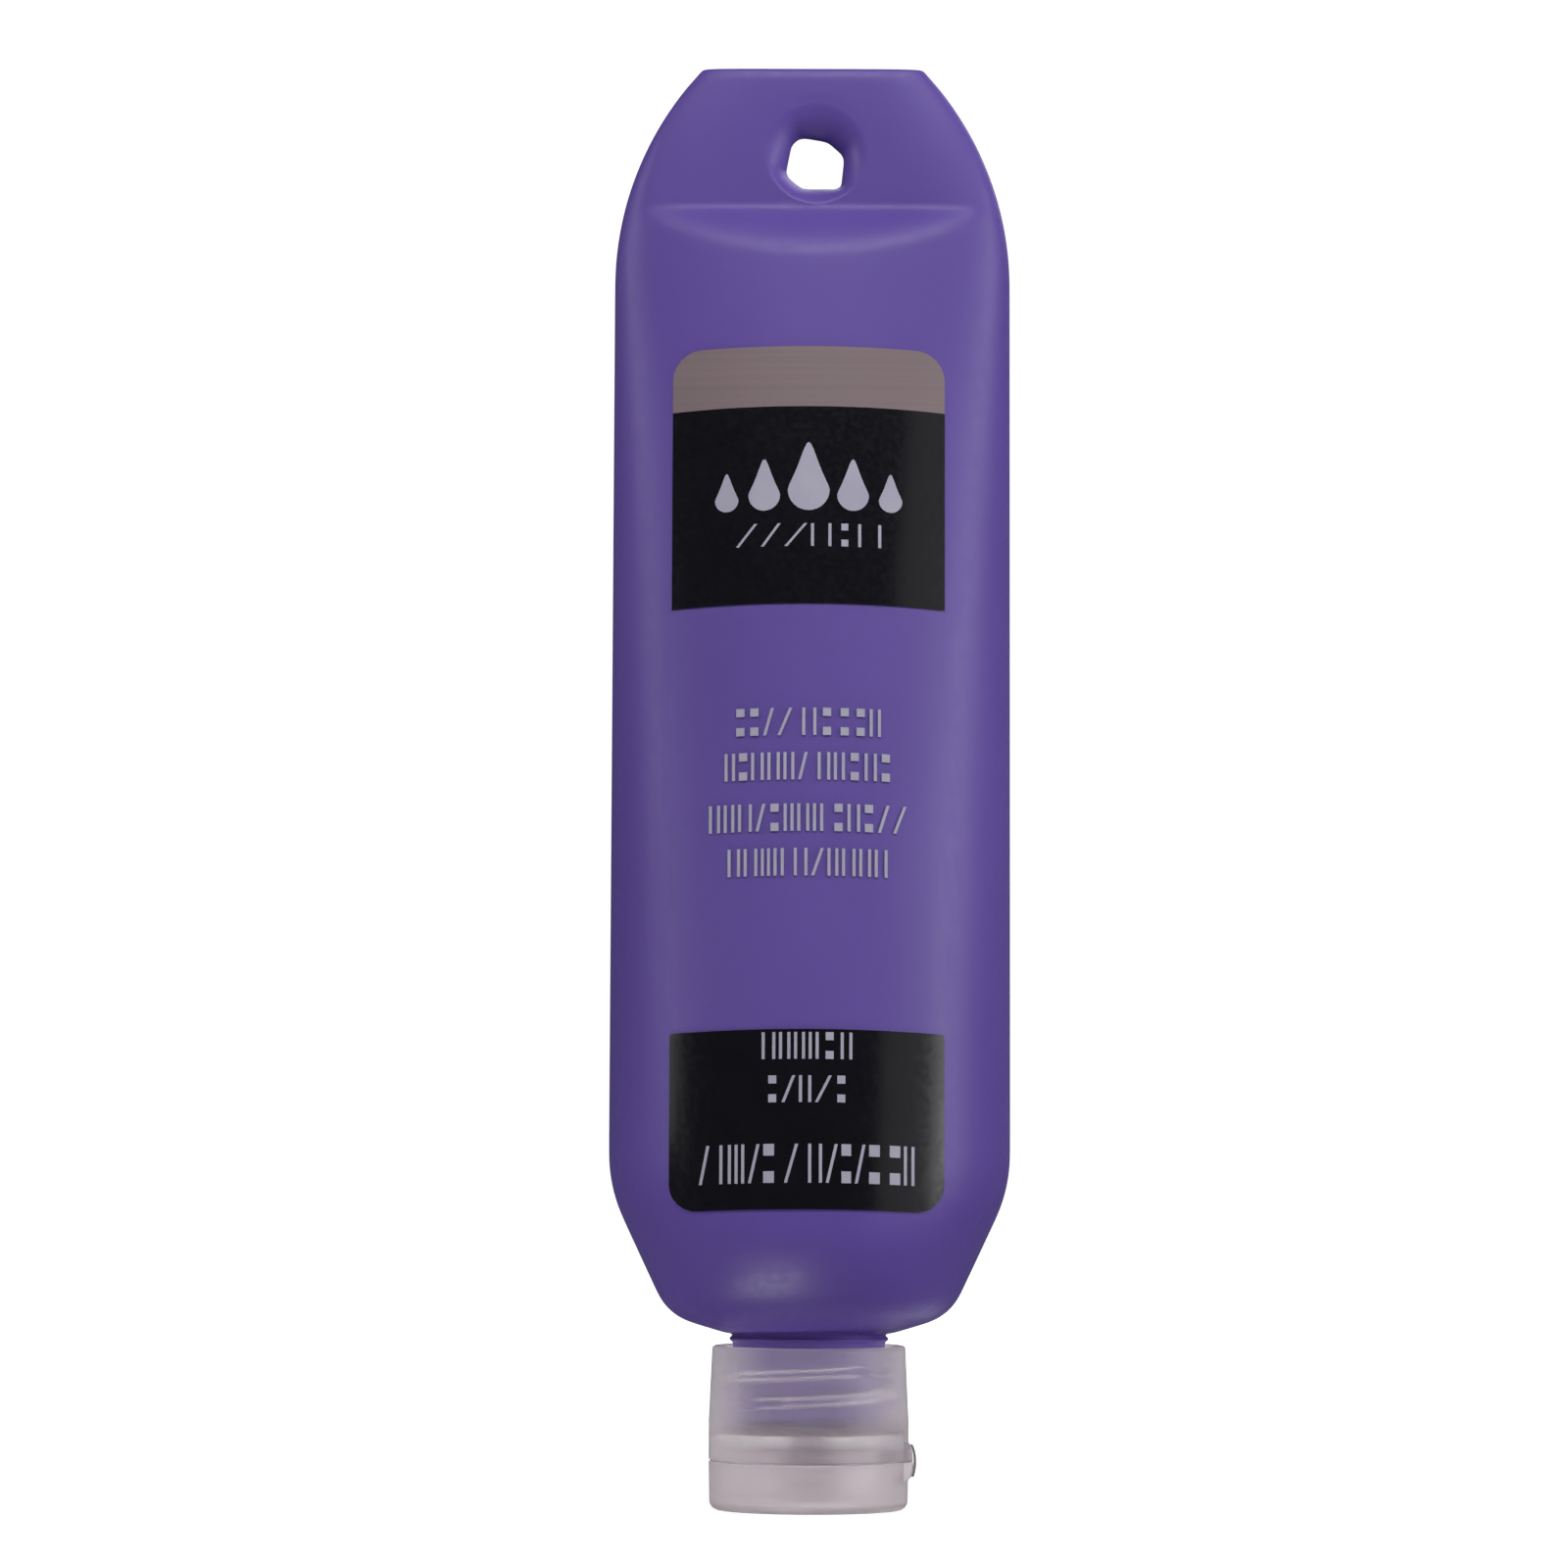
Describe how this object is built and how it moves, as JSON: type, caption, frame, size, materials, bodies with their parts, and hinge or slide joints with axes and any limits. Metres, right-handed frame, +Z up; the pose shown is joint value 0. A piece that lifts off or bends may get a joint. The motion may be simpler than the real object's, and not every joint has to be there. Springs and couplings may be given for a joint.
{
  "type": "squeeze paint bottle with flip-top cap",
  "caption": "Flattened hanging squeeze bottle for fabric paint, cap down, with a holed hang tab, labels and a screw-on flip-top cap.",
  "frame": {"origin": "centre of the closed lid's flat end, which is the lowest point", "axes": "+Z up the bottle towards its hang tab, -Y out of the front label, +X towards the lid's hinge"},
  "size_m": [0.0474, 0.039, 0.1709],
  "materials": {
    "bottle_plastic": "soft satin, moulded polyethylene",
    "paint": "wet paint",
    "label_film": "printed film, satin",
    "liner_foam": "matt foam",
    "cap_plastic": "frosted, translucent polypropylene"
  },
  "bodies": {
    "cap": {"cap_base": "cap_plastic", "living_hinge": "cap_plastic"},
    "lid": {"cap_lid": "cap_plastic"},
    "liner": {"seal_liner": "liner_foam"},
    "bottle": {"bottle": "bottle_plastic", "paint_fill": "paint", "front_label": "label_film", "back_label": "label_film"}
  },
  "joints": [
    {"name": "lid_flip", "type": "hinge", "parent": "cap", "child": "lid", "pos_m": [0.01245, 0, 0.0058], "axis": [0, -1, 0], "range_deg": [0, 170], "deforming": ["living_hinge"]},
    {"name": "cap_turn", "type": "hinge", "parent": "cap", "child": "liner", "pos_m": [0, 0, 0.0097], "axis": [0, 0, 1], "range_deg": [0, 1080]},
    {"name": "neck_lift", "type": "slide", "parent": "liner", "child": "bottle", "axis": [0, 0, 1], "range_m": [0, 0.00953]}
  ],
  "couplings": [
    {"joint": "neck_lift", "follows": "cap_turn", "m_per_rad": 0.00050532}
  ]
}
